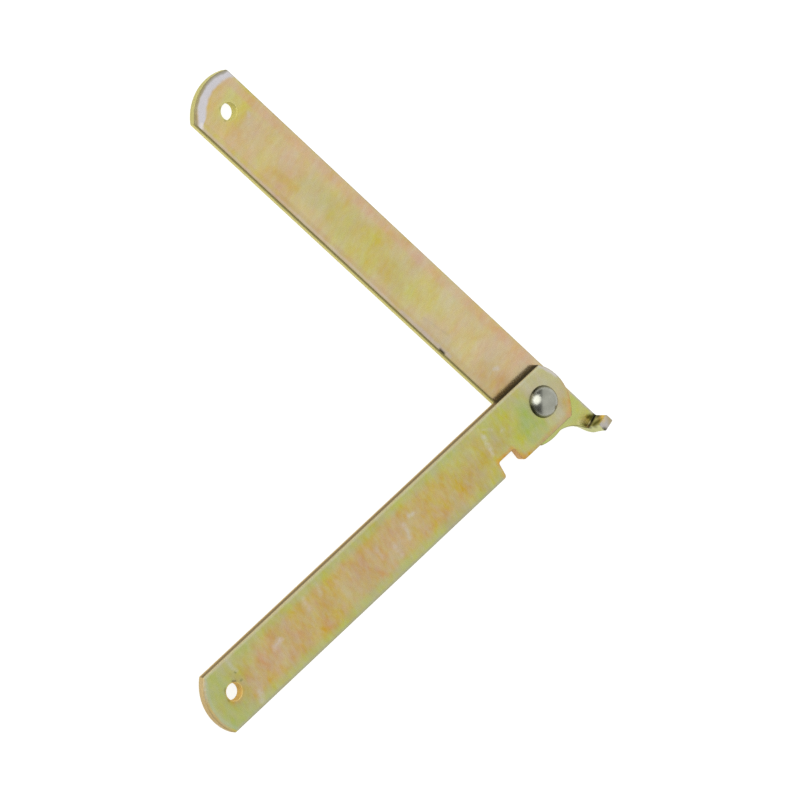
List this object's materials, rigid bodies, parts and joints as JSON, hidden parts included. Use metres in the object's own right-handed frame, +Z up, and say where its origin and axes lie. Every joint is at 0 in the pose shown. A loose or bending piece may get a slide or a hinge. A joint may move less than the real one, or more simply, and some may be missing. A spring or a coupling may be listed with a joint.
{
  "type": "lid stay",
  "caption": "Folding lid stay: flat strip arms riveted together, with a notch and a folded lug that stop it straight.",
  "frame": {"origin": "centre of the notched arm's fixing hole, on that arm's lower face", "axes": "+X along the notched arm to the pivot, +Z up through the arms towards the rivet's dome, +Y to complete a right-handed frame; the latch arm is modelled at 76.1 degrees to the notched arm"},
  "size_m": [0.1651, 0.1679, 0.0099],
  "materials": {
    "notched_arm": "yellow chromate over zinc, greener, lightly scratched",
    "latch_arm": "yellow chromate over zinc, pinker, lightly scratched",
    "rivet": "bare bright steel, satin"
  },
  "bodies": {
    "notched_arm": {"notched_arm": "notched_arm"},
    "latch_arm": {"latch_arm": "latch_arm", "rivet": "rivet"}
  },
  "joints": [
    {"name": "stay_pivot", "type": "hinge", "parent": "notched_arm", "child": "latch_arm", "pos_m": [0.14, 0, 0], "axis": [0, 0, 1], "range_deg": [-103.9, 76.1]}
  ]
}
